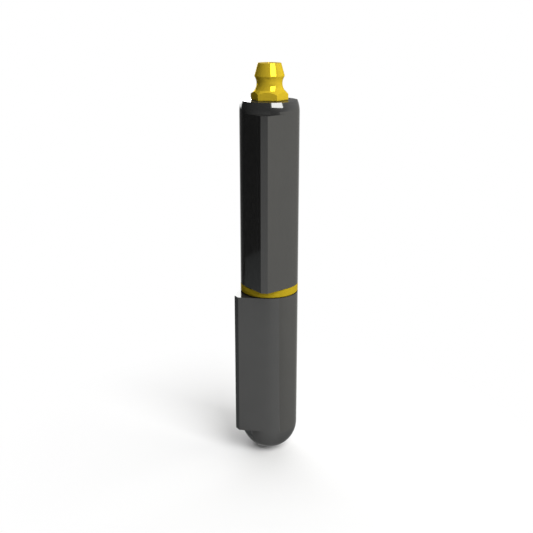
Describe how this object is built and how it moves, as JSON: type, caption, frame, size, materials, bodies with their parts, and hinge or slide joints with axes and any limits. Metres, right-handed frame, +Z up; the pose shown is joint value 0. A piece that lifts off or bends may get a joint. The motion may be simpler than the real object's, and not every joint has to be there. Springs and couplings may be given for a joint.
{
  "type": "weld-on hinge",
  "caption": "Weld-on lift-off hinge: drop-shaped steel leaves turn on a pressed-in pin over a brass thrust washer, with a grease nipple on the crown.",
  "frame": {"origin": "middle of the flat weld lip of the lower leaf", "axes": "+Z up along the pin, towards the grease nipple; -X out of the lower leaf's weld lip; the pin axis is at x = 8.85 mm"},
  "size_m": [0.0154, 0.0137, 0.0895],
  "materials": {
    "leaf_steel": "satin",
    "pin_steel": "gloss",
    "washer_brass": "satin",
    "nipple_brass": "gloss",
    "ball_steel": "polished",
    "spring_steel": "gloss"
  },
  "bodies": {
    "frame_leaf": {"lower_leaf": "leaf_steel", "hinge_pin": "pin_steel"},
    "washer": {"thrust_washer": "washer_brass"},
    "door_leaf": {"upper_leaf": "leaf_steel", "grease_nipple": "nipple_brass", "check_spring": "spring_steel"},
    "valve_ball": {"check_ball": "ball_steel"}
  },
  "joints": [
    {"name": "leaf_swing", "type": "hinge", "parent": "frame_leaf", "child": "washer", "pos_m": [0.00885, 0, 0.01635], "axis": [0, 0, 1], "continuous": true},
    {"name": "lift_off", "type": "slide", "parent": "washer", "child": "door_leaf", "axis": [0, 0, 1], "range_m": [0, 0.027]},
    {"name": "ball_press", "type": "slide", "parent": "door_leaf", "child": "valve_ball", "axis": [0, 0, -1], "range_m": [0, 0.0008], "stiffness_N_per_m": 250, "springref_m": -0.001, "deforming": ["check_spring"]}
  ]
}
